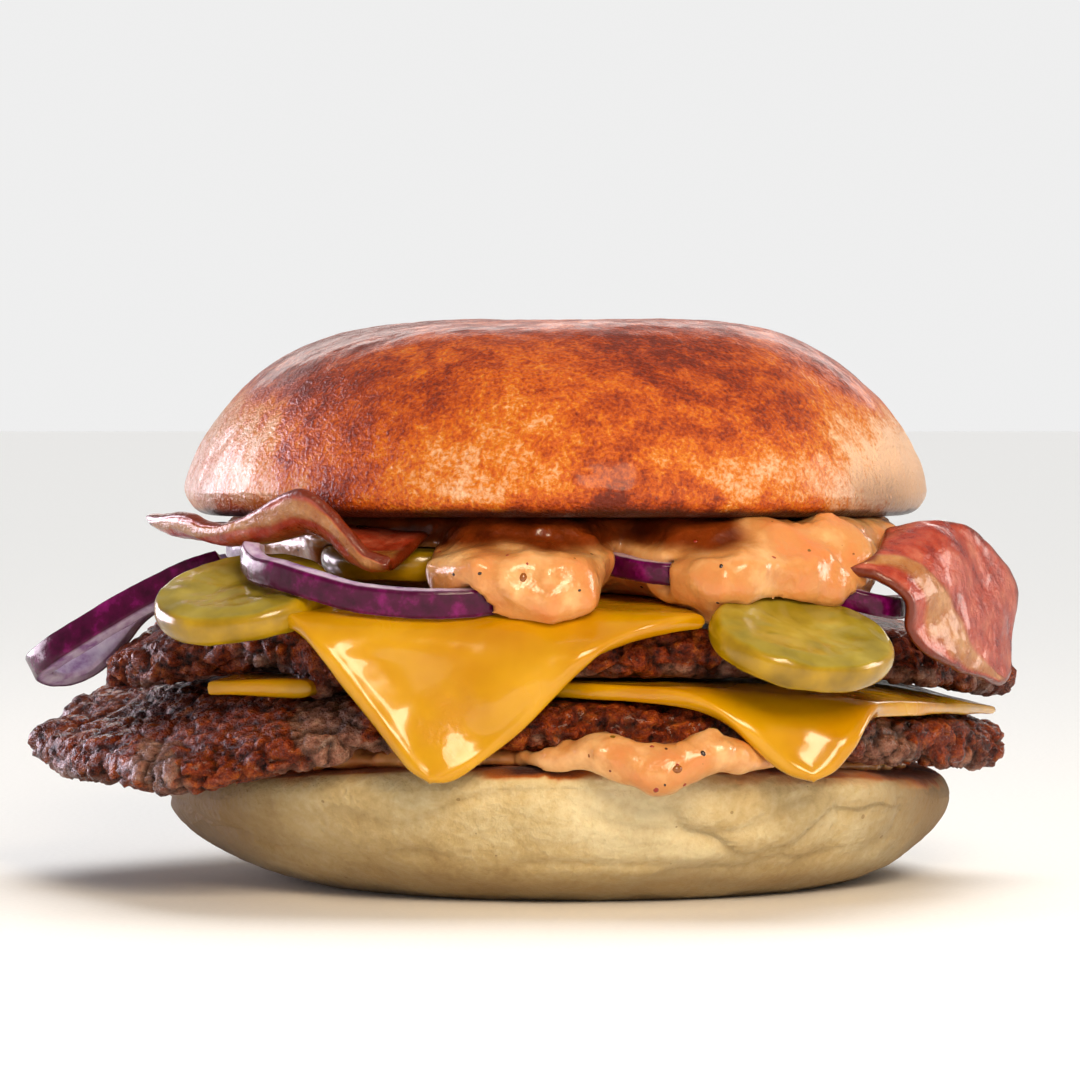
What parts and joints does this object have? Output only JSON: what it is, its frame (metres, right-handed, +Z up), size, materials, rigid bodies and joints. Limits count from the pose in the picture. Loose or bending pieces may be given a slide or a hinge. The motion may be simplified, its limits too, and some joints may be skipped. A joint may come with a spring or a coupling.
{
  "type": "double cheeseburger",
  "caption": "Burger in a soft roll with beef patties, melted cheese, pickles, red onion, bacon and sauce, ready to eat.",
  "frame": {"origin": "centre of the flat spot on the underside of the bottom bun, on the surface it rests on", "axes": "+Z up through the stack; -Y towards the side seen in the picture; +X to that side's right"},
  "size_m": [0.1385, 0.1232, 0.0787],
  "materials": {
    "heel_crust": "pale, dry, floury bread crust",
    "crown_crust": "egg-washed crust, baked golden to deep brown",
    "seared_beef": "seared minced beef, crusty and greasy",
    "melted_cheese": "melted processed cheese",
    "burger_sauce": "creamy sauce with bits of relish",
    "pickle": "wet pickled gherkin",
    "red_onion": "raw red onion, purple outside and white where cut",
    "bacon": "fried streaky bacon, red-brown meat and cream fat"
  },
  "bodies": {
    "root": {"bun_heel": "heel_crust", "sauce_lower": "burger_sauce", "patty_lower": "seared_beef", "cheese_lower": "melted_cheese", "cheese_side": "melted_cheese", "patty_upper": "seared_beef", "cheese_upper": "melted_cheese", "pickle_left": "pickle", "pickle_middle": "pickle", "pickle_right": "pickle", "pickle_back": "pickle", "onion_left": "red_onion", "onion_middle": "red_onion", "onion_right": "red_onion", "onion_back": "red_onion", "bacon_left": "bacon", "bacon_right": "bacon", "sauce_upper": "burger_sauce", "bun_crown": "crown_crust"}
  },
  "joints": []
}
